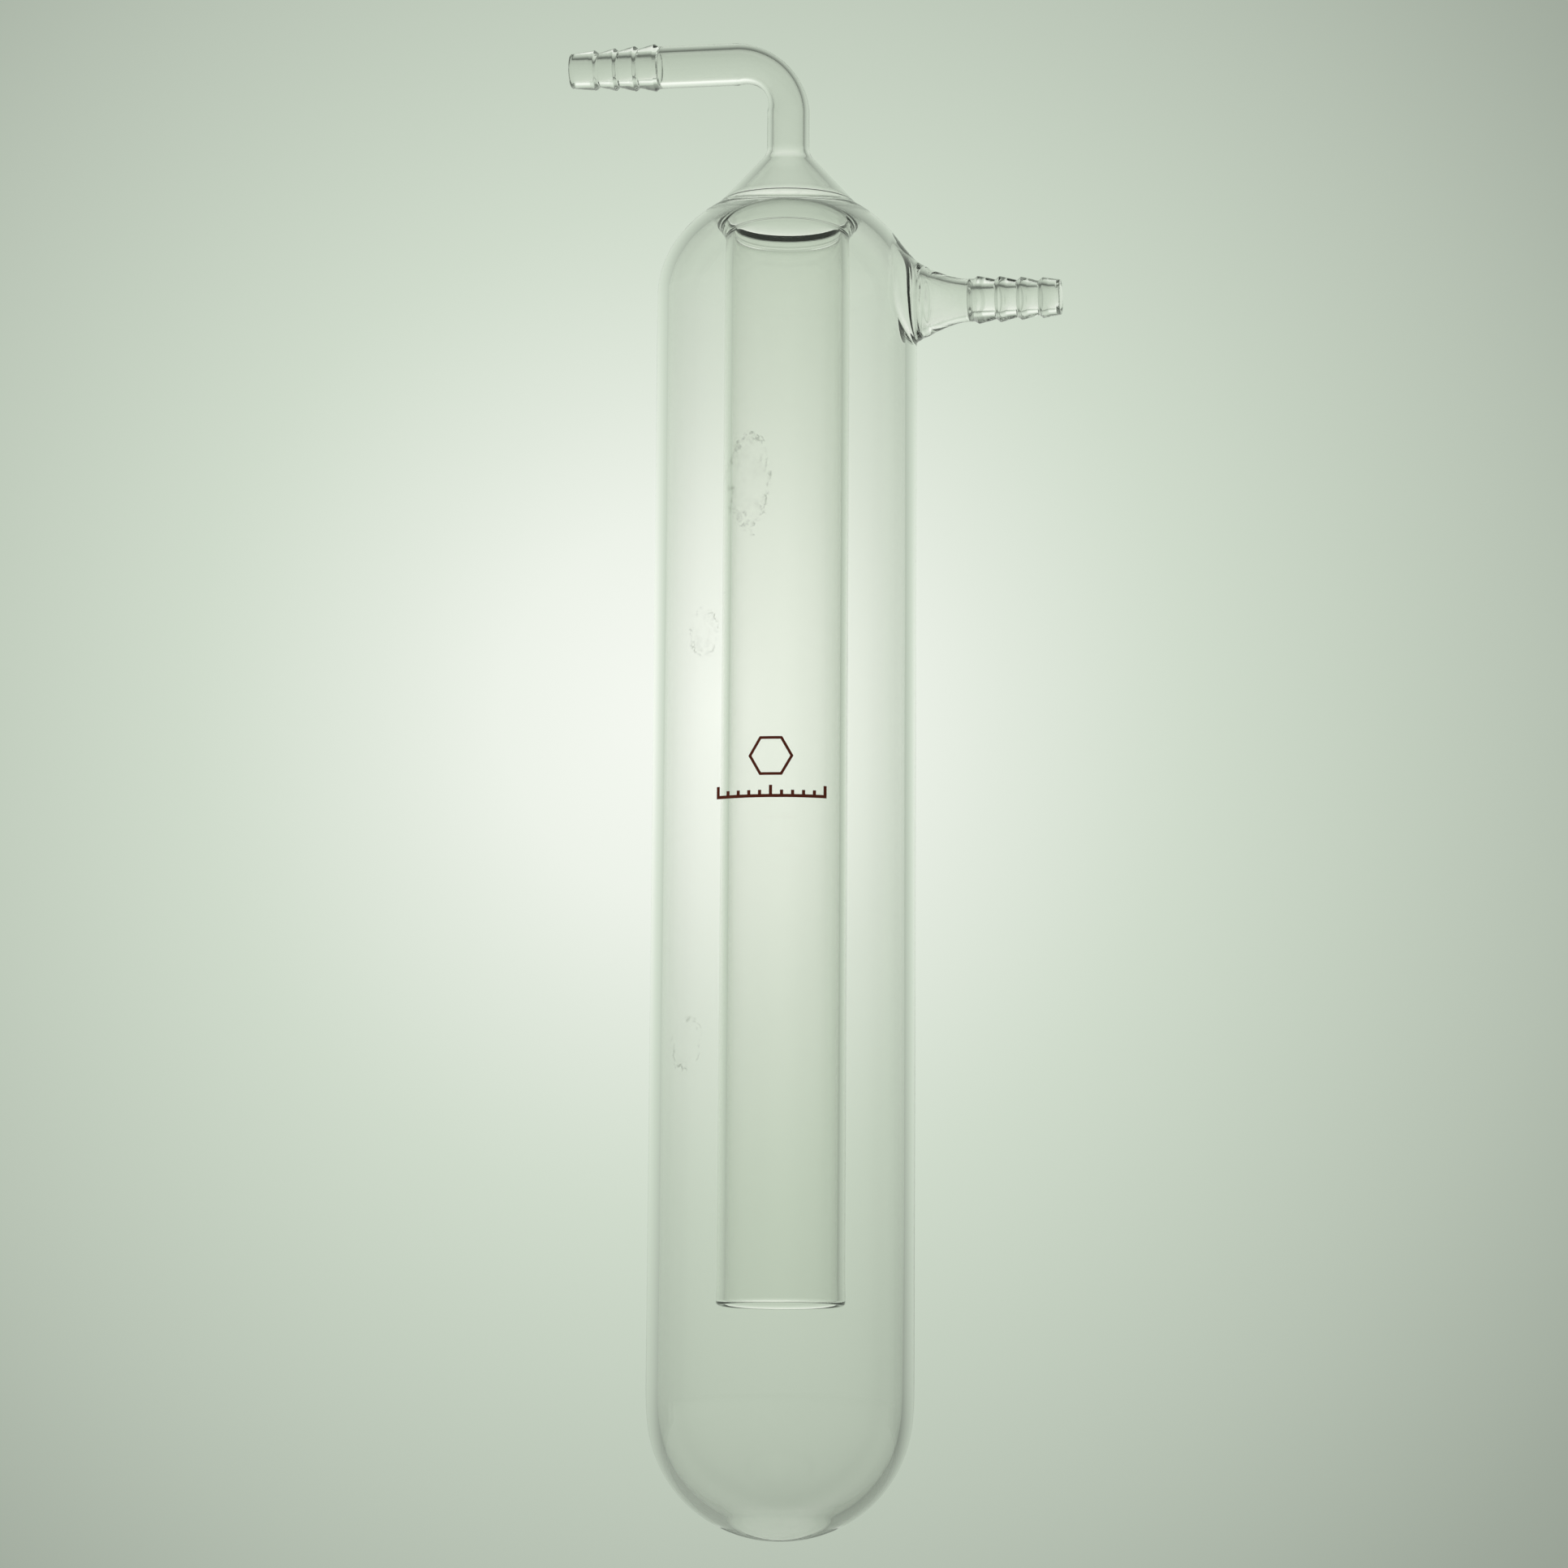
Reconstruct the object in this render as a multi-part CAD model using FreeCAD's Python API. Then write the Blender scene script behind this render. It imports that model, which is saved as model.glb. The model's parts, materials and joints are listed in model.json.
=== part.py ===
import FreeCAD, Part
import math
import os

# Glass vacuum cold trap: a round-bottomed body tube with a dip tube hung inside it from a ring
# seal in the shoulder, a bent inlet stem on top and an outlet side arm, each with a hose barb.
# Millimetres. +Z runs up the body's axis. The origin is on that axis, at the lower end of the
# straight body wall, where the round bottom begins. The outlet points along +X, the inlet along
# -X. The pieces are those that a glassblower joins, and each meets its neighbour face to face.

# --- driving dimensions ---------------------------------------------------------------------

body_radius = 25.0             # standard 50 mm tube
body_wall = 2.2
body_seam = 200.0              # height of the seam between the straight tube and the shoulder
dome_height = 213.0            # height where the shoulder's dome begins
dome_rise = 21.4               # the dome is a little flatter than a half ball

bottom_depth = 23.8            # the round bottom is a little flatter than a half ball
bottom_wall = 2.4
thin_spot_radius = 12.0        # the pole is blown thinner than the rest of the bottom
thin_spot_wall = 0.95

dip_radius = 12.0              # standard 24 mm tube
dip_wall = 1.5
dip_rim = 19.7                 # height of the dip tube's open end
dip_seam = 224.2               # height of the seam between the dip tube and the ring seal
rim_rounding = 0.7            # fire-polished rim

dome_seam_radius = 15.5        # seam between the dome and the ring seal, on the dome's outside
crease_radius = 13.9           # shallow crease where the cone leaves the dome
bulge_radius = 11.9            # the bore is blown out a little inside the ring seal
bulge_height = 229.3
bead_radius = 12.9             # bead that the dip tube hangs from
bead_height = 226.9
bead_foot_height = 225.6       # where the bead runs into the dip tube's outside
bore_edge_height = 226.1       # where the dip tube's bore opens into the bulge
cone_wall = 1.6
cone_seam_radius = 11.75       # seam between the ring seal and the cone, on the outside
cone_tip_height = 241.6        # height where the cone's slope would reach the stem's radius
cone_fillet = 3.2              # sweep of the cone into the stem

stem_radius = 4.1              # standard 8 mm tube
stem_wall = 1.15
stem_seam = 244.2              # height of the seam between the cone and the bent stem
bend_radius = 10.0
inlet_height = 260.2           # axis of the inlet's level run

# The side arm's flares are pairs of radius and distance from its barb.
outlet_height = 211.4          # axis of the outlet side arm
mouth_radius = 5.7             # side arm's bore where it opens into the body
neck_flare = ((5.1, 3.9), (6.9, 7.2), (10.0, 11.5), (12.3, 13.1), (15.2, 15.9))
neck_bore_flare = ((4.0, 4.1), (4.5, 6.7), (mouth_radius, 8.9))

# Each barb is (distance of its root from the body's axis, first crest from the tip, pitch).
inlet_barb = (24.8, 5.1, 3.95)
outlet_barb = (34.8, 3.7, 4.13)
barb_length = 18.2
barb_crests = (3.9, 4.15, 4.4, 4.6)
barb_land = 0.5                # short cylinder on each crest
barb_step = 0.6                # depth of the step behind each crest
barb_step_length = 0.45
barb_tip_radius = 3.35
barb_tip_rounding = 0.4
barb_bore = 2.2
barb_tip_bore = 2.5
barb_tip_flare = 1.0           # length over which the bore opens at the tip
barb_socket = 0.6              # full-bore stretch inside the root
barb_funnel = 1.2              # funnel from there down to the barb's own bore

mark_centre = 117.25           # height of the printed mark's centre line
mark_turn = 3.8                # degrees from the front, towards the outlet
mark_thickness = 0.05
mark_stroke = 0.6
hexagon_radius = 4.2
hexagon_rise = 2.4             # height of the hexagon above the mark's centre line
rule_width = 21.0
rule_drop = 5.1                # depth of the rule below the mark's centre line
tick_count = 11
tick_height = 1.1
long_tick_height = 2.0
long_tick_spacing = 5          # every fifth tick is a long one

# --- sizes worked out from them -------------------------------------------------------------

body_bore = body_radius - body_wall
bottom_inner_depth = bottom_depth - bottom_wall
dip_bore = dip_radius - dip_wall
dome_inner_rise = dome_rise - body_wall
stem_bore = stem_radius - stem_wall

crease_angle = math.acos(crease_radius / body_radius)
crease_height = dome_height + dome_rise * math.sin(crease_angle)
cone_slope = math.atan2(cone_tip_height - crease_height, crease_radius - stem_radius)
cone_inset = FreeCAD.Vector(-math.sin(cone_slope), 0, -math.cos(cone_slope)) * cone_wall
up_the_cone = FreeCAD.Vector(-math.cos(cone_slope), 0, math.sin(cone_slope))

# --- drawing helpers ------------------------------------------------------------------------


def at(radius, height):
    """Point in the half-plane that every turned profile is drawn in."""
    return FreeCAD.Vector(radius, 0, height)


def line(start, end):
    return Part.makeLine(start, end)


def polyline(points):
    return [line(a, b) for a, b in zip(points, points[1:])]


def arc(start, middle, end):
    return Part.Arc(start, middle, end).toShape()


def curve(points, start_way, end_way):
    """Smooth curve through the points, leaving and arriving in the given directions."""
    spline = Part.BSplineCurve()
    spline.interpolate(Points=points, InitialTangent=start_way, FinalTangent=end_way)
    return spline.toShape()


def on_dome(radius, rise, angle):
    return at(radius * math.cos(angle), dome_height + rise * math.sin(angle))


def dome_arc(radius, rise, start_angle, end_angle):
    """Part of the flattened dome's outline, between two angles up from its foot."""
    crown = at(0, dome_height + rise)
    ellipse = Part.Ellipse(at(radius, dome_height), crown, at(0, dome_height))
    return Part.ArcOfEllipse(ellipse, start_angle, end_angle).toBSpline().toShape()


def turned(edges):
    """Solid turned about the body's axis from a closed outline."""
    outline = Part.Wire(Part.__sortEdges__(edges))
    solid = Part.Face(outline).revolve(FreeCAD.Vector(0, 0, 0), FreeCAD.Vector(0, 0, 1), 360)
    return solid if solid.Volume > 0 else solid.reversed()


def lay_along_x(shape, tip_x, height, way):
    """Turn a shape drawn up the axis so that it lies level, with its foot at tip_x."""
    shape = shape.copy()
    shape.rotate(FreeCAD.Vector(0, 0, 0), FreeCAD.Vector(0, 1, 0), 90 * way)
    shape.translate(FreeCAD.Vector(tip_x, 0, height))
    return shape


# --- body -----------------------------------------------------------------------------------


def body_tube():
    edges = polyline([
        at(body_bore, 0), at(body_radius, 0), at(body_radius, body_seam),
        at(body_bore, body_seam), at(body_bore, 0),
    ])
    return turned(edges)


def quarter_ellipse(radius, depth, start_radius):
    """The bottom's outline from start_radius out to the tube wall."""
    ellipse = Part.Ellipse(at(radius, 0), at(0, -depth), at(0, 0))
    return ellipse, math.acos(start_radius / radius)


def round_bottom():
    outer, outer_pole = quarter_ellipse(body_radius, bottom_depth, 0)
    inner, thin_edge = quarter_ellipse(body_bore, bottom_inner_depth, thin_spot_radius)
    landing = inner.value(thin_edge)
    pole = at(0, thin_spot_wall - bottom_depth)
    edges = [
        Part.ArcOfEllipse(outer, 0, outer_pole).toBSpline().toShape(),
        Part.ArcOfEllipse(inner, 0, thin_edge).toBSpline().toShape(),
        curve([pole, landing], at(1, 0), inner.tangent(thin_edge)[0] * -1),
        line(pole, at(0, -bottom_depth)),
        line(at(body_bore, 0), at(body_radius, 0)),
    ]
    return turned(edges)


def dome_seam():
    """Inner and outer ends of the seam, cut through the dome's wall."""
    angle = math.acos(dome_seam_radius / body_radius)
    inner_end = on_dome(body_bore, dome_inner_rise, angle)
    outer_end = on_dome(body_radius, dome_rise, angle)
    return angle, (inner_end, outer_end)


def shoulder():
    """Dome on a short straight collar. The collar is hand-worked glass, so it is drawn as a free curve
    and only the tube below it is a true gauge cylinder."""
    angle, (inner_end, outer_end) = dome_seam()
    edges = [
        line(at(body_bore, body_seam), at(body_radius, body_seam)),
        curve([at(body_radius, body_seam), at(body_radius, dome_height)], at(0, 1), at(0, 1)),
        dome_arc(body_radius, dome_rise, 0, angle),
        line(outer_end, inner_end),
        dome_arc(body_bore, dome_inner_rise, 0, angle),
        line(at(body_bore, dome_height), at(body_bore, body_seam)),
    ]
    mouth = Part.makeCylinder(mouth_radius, body_radius, at(body_radius / 2, outlet_height), at(1, 0))
    return turned(edges).cut(mouth)


def body_envelope():
    """Everything inside the shoulder's outer surface."""
    cylinder = Part.makeCylinder(body_radius, dome_height)
    flatten = FreeCAD.Matrix()
    flatten.scale(1, 1, dome_rise / body_radius)
    dome = Part.makeSphere(body_radius).transformGeometry(flatten)
    dome.translate(at(0, dome_height))
    return cylinder.fuse(dome)


# --- ring seal, cone and dip tube -----------------------------------------------------------


def cone_seam():
    """Inner and outer ends of the seam, cut square through the cone's wall."""
    rise = (crease_radius - cone_seam_radius) * math.tan(cone_slope)
    outer_end = at(cone_seam_radius, crease_height + rise)
    return outer_end + cone_inset, outer_end


def ring_seal():
    angle, (dome_inner, dome_outer) = dome_seam()
    cone_inner, cone_outer = cone_seam()
    bore_edge = at(dip_bore, bore_edge_height)
    tube_edge = at(dip_radius, bead_foot_height)
    edges = [
        line(at(dip_bore, dip_seam), bore_edge),
        curve([bore_edge, at(bulge_radius, bulge_height), cone_inner], at(1, 0.5), up_the_cone),
        line(cone_inner, cone_outer),
        line(cone_outer, at(crease_radius, crease_height)),
        dome_arc(body_radius, dome_rise, angle, crease_angle),
        line(dome_outer, dome_inner),
        curve([dome_inner, at(bead_radius, bead_height), tube_edge], at(-1, 0.3), at(-0.6, -0.8)),
        line(tube_edge, at(dip_radius, dip_seam)),
        line(at(dip_radius, dip_seam), at(dip_bore, dip_seam)),
    ]
    return turned(edges)


def dip_tube():
    edges = polyline([
        at(dip_bore, dip_rim), at(dip_radius, dip_rim), at(dip_radius, dip_seam),
        at(dip_bore, dip_seam), at(dip_bore, dip_rim),
    ])
    tube = turned(edges)
    rims = [edge for edge in tube.Edges
            if len(edge.Vertexes) == 1 and abs(edge.BoundBox.ZMax - dip_rim) < rim_rounding]
    return tube.makeFillet(rim_rounding, rims)


def swept_side(foot, tube_radius, fillet):
    """The cone's slope from its foot, swept into the stem's straight side."""
    rise = (foot.x - tube_radius) * math.tan(cone_slope)
    corner = at(tube_radius, foot.z + rise)
    turn = math.pi / 2 - cone_slope
    reach = fillet * math.tan(turn / 2)
    start = corner - up_the_cone * reach
    end = at(tube_radius, corner.z + reach)
    centre = at(tube_radius + fillet, end.z)
    middle = centre - at(math.cos(turn / 2), math.sin(turn / 2)) * fillet
    return [line(foot, start), arc(start, middle, end), line(end, at(tube_radius, stem_seam))]


def inlet_cone():
    inner_foot, outer_foot = cone_seam()
    edges = swept_side(outer_foot, stem_radius, cone_fillet)
    edges += swept_side(inner_foot, stem_bore, cone_fillet + stem_wall)
    edges.append(line(outer_foot, inner_foot))
    edges.append(line(at(stem_radius, stem_seam), at(stem_bore, stem_seam)))
    return turned(edges)


def bent_rod(radius):
    """Solid rod along the stem's centre line: up, round the bend and out to the inlet barb."""
    bend_start = inlet_height - bend_radius
    upright = Part.makeCylinder(radius, bend_start - stem_seam, at(0, stem_seam))
    section = Part.Face(Part.Wire(Part.makeCircle(radius, at(0, bend_start), at(0, 1))))
    bend = section.revolve(at(-bend_radius, bend_start), FreeCAD.Vector(0, -1, 0), 90)
    barb_root = inlet_barb[0]
    run = Part.makeCylinder(radius, barb_root - bend_radius, at(-bend_radius, inlet_height), at(-1, 0))
    return upright.fuse([bend, run])


def inlet_stem():
    return bent_rod(stem_radius).cut(bent_rod(stem_bore)).removeSplitter()


# --- side arm -------------------------------------------------------------------------------


def side_arm_neck():
    """Flared neck drawn up the axis from its barb end, laid level and fitted to the shoulder."""
    outer_points = [at(stem_radius, 0)] + [at(*point) for point in neck_flare]
    inner_points = [at(stem_bore, 0)] + [at(*point) for point in neck_bore_flare]
    buried_corner = at(mouth_radius, outer_points[-1].z)
    edges = [
        curve(outer_points, at(0, 1), at(1, 1)),
        curve(inner_points, at(0, 1), at(0, 1)),
        line(inner_points[0], outer_points[0]),
        line(inner_points[-1], buried_corner),
        line(buried_corner, outer_points[-1]),
    ]
    barb_root = outlet_barb[0]
    flare = lay_along_x(turned(edges), barb_root, outlet_height, -1)
    return flare.cut(body_envelope())


# --- hose barbs -----------------------------------------------------------------------------


def barb_outline(first_crest, pitch):
    """Outside of a hose barb from its tip to its root: ramps, crests and steps."""
    points = [at(barb_tip_radius - barb_tip_rounding, 0), at(barb_tip_radius, barb_tip_rounding)]
    last = len(barb_crests) - 1
    for number, crest in enumerate(barb_crests):
        land_end = first_crest + number * pitch
        foot = stem_radius if number == last else crest - barb_step
        points.append(at(crest, land_end - barb_land))
        points.append(at(crest, land_end))
        points.append(at(foot, land_end + barb_step_length))
    points.append(at(stem_radius, barb_length))
    return points


def hose_barb(first_crest, pitch):
    """Hose barb drawn up the axis from its tip, with a funnel in its bore at the root."""
    socket_end = barb_length - barb_socket
    bore = [
        at(stem_bore, barb_length), at(stem_bore, socket_end), at(barb_bore, socket_end - barb_funnel),
        at(barb_bore, barb_tip_flare), at(barb_tip_bore, 0),
    ]
    outline = barb_outline(first_crest, pitch) + bore
    return turned(polyline(outline + outline[:1]))


def inlet_hose_barb():
    root, first_crest, pitch = inlet_barb
    return lay_along_x(hose_barb(first_crest, pitch), -root - barb_length, inlet_height, 1)


def outlet_hose_barb():
    root, first_crest, pitch = outlet_barb
    return lay_along_x(hose_barb(first_crest, pitch), root + barb_length, outlet_height, -1)


# --- printed mark ---------------------------------------------------------------------------


def stroke_box(width, height, centre_x, centre_z):
    """Bar that reaches through the front of the body wall."""
    corner = FreeCAD.Vector(centre_x - width / 2, -body_radius - 1, centre_z - height / 2)
    return Part.makeBox(width, body_radius / 2, height, corner)


def hexagon_prism(radius, height):
    corners = [
        FreeCAD.Vector(radius * math.cos(math.pi / 3 * k), -body_radius - 1,
                       height + radius * math.sin(math.pi / 3 * k))
        for k in range(7)
    ]
    return Part.Face(Part.makePolygon(corners)).extrude(FreeCAD.Vector(0, body_radius / 2, 0))


def printed_mark():
    """Plain hexagon over a short ruled line, as thin fired enamel on the front of the body."""
    height = mark_centre + hexagon_rise
    hexagon = hexagon_prism(hexagon_radius, height).cut(hexagon_prism(hexagon_radius - mark_stroke, height))
    rule_height = mark_centre - rule_drop
    rule = stroke_box(rule_width, mark_stroke, 0, rule_height)
    ticks = []
    for k in range(tick_count):
        length = tick_height if k % long_tick_spacing else long_tick_height
        across = (k / (tick_count - 1) - 0.5) * (rule_width - mark_stroke)
        ticks.append(stroke_box(mark_stroke, length, across, rule_height + length / 2))
    enamel = Part.makeCylinder(body_radius + mark_thickness, body_seam).cut(
        Part.makeCylinder(body_radius, body_seam))
    mark = enamel.common(hexagon.fuse(rule.fuse(ticks)))
    mark.rotate(FreeCAD.Vector(0, 0, 0), FreeCAD.Vector(0, 0, 1), mark_turn)
    return mark


# --- parts ----------------------------------------------------------------------------------

pieces = {
    "body_tube": body_tube(),
    "round_bottom": round_bottom(),
    "shoulder": shoulder(),
    "ring_seal": ring_seal(),
    "dip_tube": dip_tube(),
    "inlet_cone": inlet_cone(),
    "inlet_stem": inlet_stem(),
    "inlet_hose_barb": inlet_hose_barb(),
    "side_arm_neck": side_arm_neck(),
    "outlet_hose_barb": outlet_hose_barb(),
    "printed_mark": printed_mark(),
}

os.makedirs("parts", exist_ok=True)
for name, shape in pieces.items():
    shape.exportStep(os.path.join("parts", name + ".step"))
    box = shape.BoundBox
    print(name, "valid", shape.isValid(), "solids", len(shape.Solids), "volume", round(shape.Volume, 1),
          "box", [round(v, 2) for v in (box.XMin, box.XMax, box.YMin, box.YMax, box.ZMin, box.ZMax)])
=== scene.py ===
import json
import math

import bmesh
import bpy
from mathutils import Matrix, Vector


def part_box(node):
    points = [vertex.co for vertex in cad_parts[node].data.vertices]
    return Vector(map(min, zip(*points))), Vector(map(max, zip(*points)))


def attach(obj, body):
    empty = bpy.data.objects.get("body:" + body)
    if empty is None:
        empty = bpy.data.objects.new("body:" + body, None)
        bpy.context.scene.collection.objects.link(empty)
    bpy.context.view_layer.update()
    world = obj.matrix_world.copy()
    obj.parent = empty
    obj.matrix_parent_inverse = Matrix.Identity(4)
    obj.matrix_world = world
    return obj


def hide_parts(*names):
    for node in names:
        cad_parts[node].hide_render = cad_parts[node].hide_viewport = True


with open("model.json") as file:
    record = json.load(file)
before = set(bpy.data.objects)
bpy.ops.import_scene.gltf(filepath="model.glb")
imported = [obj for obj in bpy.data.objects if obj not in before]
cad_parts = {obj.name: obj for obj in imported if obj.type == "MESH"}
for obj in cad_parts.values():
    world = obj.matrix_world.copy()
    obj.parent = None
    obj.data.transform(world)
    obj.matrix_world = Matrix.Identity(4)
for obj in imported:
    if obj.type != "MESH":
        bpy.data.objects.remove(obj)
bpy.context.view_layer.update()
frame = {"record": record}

# Glass vacuum cold trap. Every glass piece is turned or swept here at a finer grain than the CAD
# solid that it stands for. Profiles are in millimetres in the frame's own axes.

MM = 0.001


def box_mm(node):
    """Lowest and highest corner of a CAD node, in millimetres."""
    return [[v / MM for v in corner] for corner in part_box(node)]


# --- sizes read from the frame --------------------------------------------------------------

_, body_high = box_mm("body_tube")
bottom_low, _ = box_mm("round_bottom")
_, shoulder_high = box_mm("shoulder")
dip_low, dip_high = box_mm("dip_tube")
_, cone_high = box_mm("inlet_cone")
stem_low, stem_high = box_mm("inlet_stem")
inlet_barb_low, inlet_barb_high = box_mm("inlet_hose_barb")
outlet_barb_low, outlet_barb_high = box_mm("outlet_hose_barb")
mounts = {mount["name"]: mount for mount in frame["record"]["mounts"]}

BODY_R = body_high[0]
BODY_SEAM = body_high[2]
BOTTOM_DEPTH = -bottom_low[2]
DIP_R = dip_high[0]
DIP_RIM = dip_low[2]
DIP_SEAM = dip_high[2]
STEM_R = stem_high[1]
STEM_SEAM = cone_high[2]
INLET_Z = stem_high[2] - STEM_R
BARB_LENGTH = inlet_barb_high[0] - inlet_barb_low[0]
INLET_ROOT = -stem_low[0]
OUTLET_Z = (outlet_barb_low[2] + outlet_barb_high[2]) / 2
OUTLET_ROOT = outlet_barb_low[0]
BARB_BORE = mounts["inlet_bore"]["dims"]["r_mm"]
BARB_CREST = mounts["inlet_hose"]["dims"]["r_mm"]
CONE_SEAM_R = cone_high[0]
DOME_SEAM_Z = shoulder_high[2]

# --- sizes that the frame's boxes do not show -----------------------------------------------

BODY_WALL = 2.2
DIP_WALL = 1.5
STEM_WALL = 1.15
CONE_WALL = 1.6
DOME_Z = 213.0                # spring line of the shoulder's dome
DOME_RISE = 21.4              # a little flatter than a half ball
BOTTOM_WALL = 2.4
THIN_SPOT_R = 12.0            # the pole is blown thinner than the rest of the bottom
THIN_SPOT_WALL = 0.95
EASE = 6.0                    # half height over which the straight wall eases into the round bottom
CREASE_R = 13.9               # where the cone leaves the dome
CONE_TIP_Z = 241.6
CONE_FILLET = 3.2
BORE_EDGE_Z = 225.75          # where the dip tube's bore opens into the bulge of the ring seal
BULGE_R, BULGE_Z = 12.0, 229.0    # knot on the bulge's wall
BEAD_R, BEAD_Z = 12.85, 226.55    # bead that the dip tube hangs from
BEAD_FOOT_Z = 224.65          # where the bead runs into the dip tube
BEND_R = 10.0
BEND_SHIFT = 0.15             # the flattened bend lies a little outside its centre line
BEND_WIDER, BEND_FLATTER = 0.05, 0.17
BEND_STEPS = 48
RIM_FLARE, RIM_LENGTH = 0.1, 5.0     # how far the dip tube's rim opens out, and over what length

AROUND = 256                  # facets round the big tubes
AROUND_SMALL = 128            # facets round the stem and barbs
LONG_STEP = 4.0               # between the rings of a long straight tube
BODY_BORE = BODY_R - BODY_WALL
DIP_BORE = DIP_R - DIP_WALL
STEM_BORE = STEM_R - STEM_WALL

POLE_R = 1e-6                 # a ring smaller than this is a single point
GLASS, SEAM = 0, 1            # material slots of a glass piece


# --- profile drawing ------------------------------------------------------------------------

def straight(start, end, step=2.0):
    """Points from start to end, no further apart than step."""
    count = max(1, math.ceil(math.dist(start, end) / step))
    return [tuple(a + (b - a) * k / count for a, b in zip(start, end)) for k in range(count + 1)]


def arc(centre, radius, start_angle, end_angle, step=0.5):
    """Points on an arc. radius may be a pair for an ellipse; angles are in radians from level."""
    rx, rz = radius if isinstance(radius, tuple) else (radius, radius)
    count = max(4, math.ceil(abs(end_angle - start_angle) * max(rx, rz) / step))
    angles = [start_angle + (end_angle - start_angle) * k / count for k in range(count + 1)]
    return [(centre[0] + rx * math.cos(a), centre[1] + rz * math.sin(a)) for a in angles]


def bend_run(a, b, out, into, count):
    """Points after a, as far as b, on the curve that leaves along out and arrives along into."""
    reach = (b - a).length
    run = []
    for t in (n / count for n in range(1, count + 1)):
        p = (a * (2 * t**3 - 3 * t**2 + 1) + out * reach * (t**3 - 2 * t**2 + t)
             + b * (-2 * t**3 + 3 * t**2) + into * reach * (t**3 - t**2))
        run.append(tuple(p))
    return run


def spline(points, start_way, end_way, step=0.25):
    """Smooth curve through the points that leaves and arrives in the given directions."""
    knots = [Vector(p) for p in points]
    ways = [Vector(start_way).normalized()]
    for before, after in zip(knots, knots[2:]):
        ways.append((after - before).normalized())
    ways.append(Vector(end_way).normalized())
    curve = [tuple(knots[0])]
    for a, b, out, into in zip(knots, knots[1:], ways, ways[1:]):
        curve += bend_run(a, b, out, into, max(6, math.ceil((b - a).length / step)))
    return curve


def steered(points, directions, step=0.2):
    """Curve through the points with a given direction and strength at each."""
    knots, ways = [Vector(p) for p in points], [Vector(way) for way in directions]
    curve = [tuple(points[0])]
    for a, b, out, into in zip(knots, knots[1:], ways, ways[1:]):
        curve += bend_run(a, b, out, into, max(6, round((b - a).length / step)))
    return curve


def join(*runs):
    """One run from several that follow on smoothly."""
    points = list(runs[0])
    for run in runs[1:]:
        points += run[1:]
    return points


def rounded(points, radii, step=0.06):
    """The polyline with each inner corner rounded to its radius."""
    out = [points[0]]
    for k in range(1, len(points) - 1):
        before, corner, after = (Vector(points[k + d]) for d in (-1, 0, 1))
        radius = radii[k - 1]
        back, on = (before - corner).normalized(), (after - corner).normalized()
        half = back.angle(on) / 2
        reach = min(radius / math.tan(half), 0.45 * (before - corner).length,
                    0.45 * (after - corner).length)
        start, end = corner + back * reach, corner + on * reach
        count = max(3, math.ceil(2 * reach / step))
        for n in range(count + 1):
            t = n / count
            out.append(tuple(start * (1 - t)**2 + corner * 2 * t * (1 - t) + end * t**2))
    out.append(points[-1])
    return out


# --- materials ------------------------------------------------------------------------------

def new_material(name):
    material = bpy.data.materials.new(name)
    material.use_nodes = True
    nodes, links = material.node_tree.nodes, material.node_tree.links
    shader = nodes["Principled BSDF"]
    return material, nodes, links, shader


def bare_material(name):
    """Material with nothing but its output, and the socket of its surface."""
    material, nodes, links, shader = new_material(name)
    nodes.remove(shader)
    return material, nodes, links, nodes["Material Output"].inputs["Surface"]


def node(nodes, kind, **inputs):
    """Node with some of its inputs set by name."""
    made = nodes.new(kind)
    for key, value in inputs.items():
        made.inputs[key.replace("_", " ")].default_value = value
    return made


def noise(nodes, links, place, scale, detail, roughness):
    """Noise between 0 and 1 at a point."""
    made = node(nodes, "ShaderNodeTexNoise", Scale=scale, Detail=detail, Roughness=roughness)
    links.new(place, made.inputs["Vector"])
    return made.outputs["Fac"]


def calc(nodes, links, operation, *values, clamp=False):
    """Result of a sum on sockets and plain numbers."""
    made = nodes.new("ShaderNodeMath")
    made.operation, made.use_clamp = operation, clamp
    for socket, value in zip(made.inputs, values):
        if isinstance(value, (int, float)):
            socket.default_value = value
        else:
            links.new(value, socket)
    return made.outputs["Value"]


def length(nodes, links, vector):
    """Length of a vector."""
    made = nodes.new("ShaderNodeVectorMath")
    made.operation = "LENGTH"
    links.new(vector, made.inputs[0])
    return made.outputs["Value"]


def ramp(nodes, links, value, stops):
    """Colour ramp over a value, from rising stops of (position, colour)."""
    made = nodes.new("ShaderNodeValToRGB")
    elements = made.color_ramp.elements
    while len(elements) < len(stops):
        elements.new(0.5)
    for element, (position, _) in zip(elements, stops):
        element.position = position
    for element, (_, colour) in zip(elements, stops):
        element.color = (*colour, 1)
    links.new(value, made.inputs["Fac"])
    return made.outputs["Color"]


def grey(level):
    return (level, level, level)


def fine_bump(nodes, links, height, shader, strength, depth):
    bump = node(nodes, "ShaderNodeBump", Strength=strength, Distance=depth)
    links.new(height, bump.inputs["Height"])
    links.new(bump.outputs["Normal"], shader.inputs["Normal"])


# Dried water marks on the front of the body, as (across, height, half width, half height) in metres.
WATER_MARKS = ((-0.0115, 0.1442, 0.0026, 0.0045), (-0.0146, 0.0666, 0.003, 0.0045),
               (-0.0030, 0.1722, 0.0038, 0.0085))
MARKS_FRONT = -0.017          # they lie only on the wall nearer than this
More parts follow.
